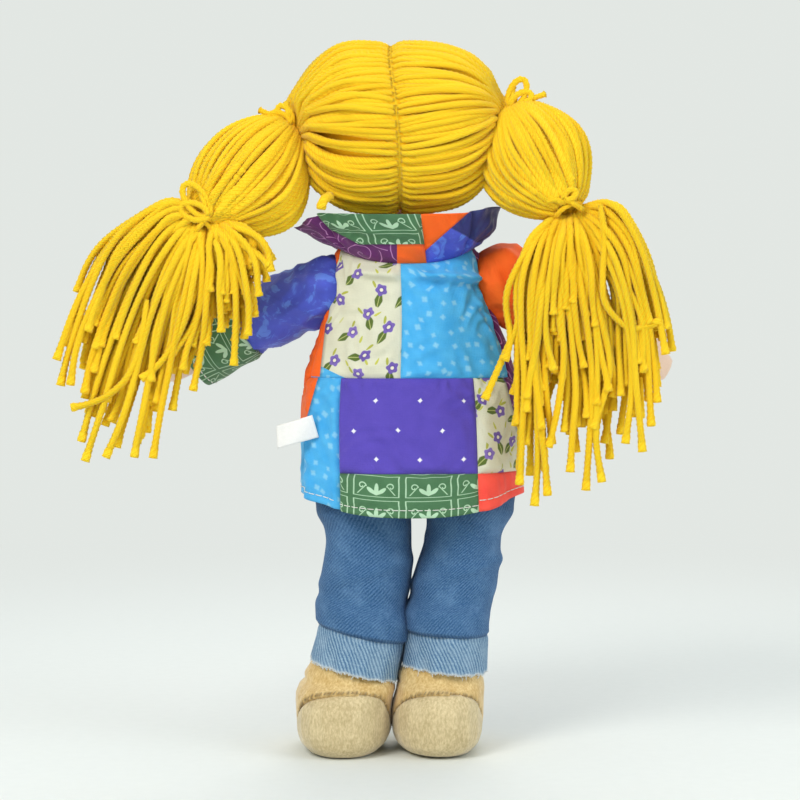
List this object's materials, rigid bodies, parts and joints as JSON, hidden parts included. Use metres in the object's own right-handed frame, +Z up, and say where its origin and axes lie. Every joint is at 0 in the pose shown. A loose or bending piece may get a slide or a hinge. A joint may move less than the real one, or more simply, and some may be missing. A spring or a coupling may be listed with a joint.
{
  "type": "rag doll",
  "caption": "Stuffed cloth rag doll with yarn pigtails, a patchwork jacket with a tall collar, rolled denim jeans and velour shoes.",
  "frame": {"origin": "middle of the base of the bounding box, on the floor between the shoes", "axes": "+Z up from the shoes to the head, +Y the way the doll's face looks, +X to the picture's right"},
  "size_m": [0.2812, 0.0942, 0.3403],
  "materials": {
    "floral_cotton": null,
    "sky_cotton": "sky-blue cotton with a tiny pale print",
    "violet_cotton": "dark violet cotton with small white dots",
    "tag_satin": "plain white woven tape, bare",
    "green_cotton": "dark green cotton with a tile print",
    "indigo_cotton": "dark indigo cotton with lighter blotches",
    "orange_satin": "orange satin",
    "purple_cotton": "dark purple cotton with pink swirls",
    "coral_cotton": "coral-red cotton",
    "skin_cloth": "plain peach-coloured cotton over stuffing",
    "denim": "worn blue twill denim",
    "button": "black gloss button",
    "golden_yarn": "golden plied yarn",
    "denim_reverse": "paler reverse side of the denim, frayed edge",
    "velour": "beige crushed velour",
    "mouth_thread": "dark red embroidery thread",
    "nose_felt": "red-brown felt",
    "scalp_cotton": "cream stitched tape"
  },
  "bodies": {
    "torso": {"torso": "skin_cloth", "jeans_seat": "denim", "back_floral_panel": "floral_cotton", "back_sky_panel": "sky_cotton", "left_front_panel": "orange_satin", "right_front_panel": "purple_cotton", "left_sky_strip": "sky_cotton", "back_violet_panel": "violet_cotton", "back_floral_strip": "floral_cotton", "green_hem_band": "green_cotton", "coral_corner_patch": "coral_cotton", "collar_purple_patch": "purple_cotton", "collar_green_patch": "green_cotton", "collar_orange_patch": "orange_satin", "collar_indigo_patch": "indigo_cotton"},
    "neck": {"neck": "skin_cloth"},
    "head": {"head": "skin_cloth", "left_eye": "button", "right_eye": "button", "nose": "nose_felt", "mouth": "mouth_thread", "parting_seam": "scalp_cotton", "left_hair_cap": "golden_yarn", "right_hair_cap": "golden_yarn"},
    "care_tag": {"care_tag": "tag_satin"},
    "left_pigtail": {"left_pigtail_ball": "golden_yarn", "left_upper_tie": "golden_yarn"},
    "left_tuft": {"left_hair_tuft": "golden_yarn", "left_lower_tie": "golden_yarn"},
    "left_arm": {"left_arm": "skin_cloth", "left_sleeve": "indigo_cotton", "left_sleeve_cuff": "green_cotton"},
    "left_leg": {"left_leg": "skin_cloth", "left_jeans_leg": "denim", "left_jeans_cuff": "denim_reverse", "left_shoe_upper": "velour", "left_shoe_sole": "velour"},
    "left_skirt": {"left_skirt_flap": "orange_satin"},
    "right_pigtail": {"right_pigtail_ball": "golden_yarn", "right_upper_tie": "golden_yarn"},
    "right_tuft": {"right_hair_tuft": "golden_yarn", "right_lower_tie": "golden_yarn"},
    "right_arm": {"right_arm": "skin_cloth", "right_sleeve": "orange_satin", "right_sleeve_cuff": "green_cotton"},
    "right_leg": {"right_leg": "skin_cloth", "right_jeans_leg": "denim", "right_jeans_cuff": "denim_reverse", "right_shoe_upper": "velour", "right_shoe_sole": "velour"},
    "right_skirt": {"right_skirt_flap": "purple_cotton"}
  },
  "joints": [
    {"name": "neck_nod", "type": "hinge", "parent": "torso", "child": "neck", "pos_m": [0.00723, 0.00364, 0.244], "axis": [-1, 0, 0], "range_deg": [-4, 20]},
    {"name": "head_turn", "type": "hinge", "parent": "neck", "child": "head", "pos_m": [0.00723, 0.00364, 0.262], "axis": [0, 0, 1], "range_deg": [-10, 10]},
    {"name": "left_pigtail_raise", "type": "hinge", "parent": "head", "child": "left_pigtail", "pos_m": [-0.04407, -0.00836, 0.2985], "axis": [0, 1, 0], "range_deg": [0, 40]},
    {"name": "left_tuft_raise", "type": "hinge", "parent": "left_pigtail", "child": "left_tuft", "pos_m": [-0.08277, -0.03236, 0.252], "axis": [0, 1, 0], "range_deg": [0, 30]},
    {"name": "left_shoulder", "type": "hinge", "parent": "torso", "child": "left_arm", "pos_m": [-0.02727, 0.00564, 0.223], "axis": [0, 1, 0], "range_deg": [-12, 45]},
    {"name": "left_hip", "type": "hinge", "parent": "torso", "child": "left_leg", "pos_m": [-0.01077, 0.00364, 0.143], "axis": [1, 0, 0], "range_deg": [0, 90]},
    {"name": "left_skirt_lift", "type": "hinge", "parent": "torso", "child": "left_skirt", "pos_m": [-0.01077, 0.03314, 0.1725], "axis": [1, 0, 0], "range_deg": [0, 90]},
    {"name": "right_pigtail_raise", "type": "hinge", "parent": "head", "child": "right_pigtail", "pos_m": [0.05923, -0.00836, 0.3065], "axis": [0, -1, 0], "range_deg": [0, 40]},
    {"name": "right_tuft_raise", "type": "hinge", "parent": "right_pigtail", "child": "right_tuft", "pos_m": [0.08423, -0.03236, 0.259], "axis": [0, -1, 0], "range_deg": [0, 30]},
    {"name": "right_shoulder", "type": "hinge", "parent": "torso", "child": "right_arm", "pos_m": [0.05023, 0.00564, 0.223], "axis": [0, -1, 0], "range_deg": [-12, 45]},
    {"name": "right_hip", "type": "hinge", "parent": "torso", "child": "right_leg", "pos_m": [0.03923, 0.00364, 0.143], "axis": [1, 0, 0], "range_deg": [0, 90]},
    {"name": "right_skirt_lift", "type": "hinge", "parent": "torso", "child": "right_skirt", "pos_m": [0.03923, 0.03314, 0.1725], "axis": [1, 0, 0], "range_deg": [0, 90]},
    {"name": "care_tag_swing", "type": "hinge", "parent": "torso", "child": "care_tag", "pos_m": [-0.0335, -0.01774, 0.1545], "axis": [0, 0, 1], "range_deg": [-20, 90]}
  ],
  "couplings": [
    {"joint": "left_skirt_lift", "follows": "left_hip", "ratio": 1},
    {"joint": "right_skirt_lift", "follows": "right_hip", "ratio": 1}
  ]
}
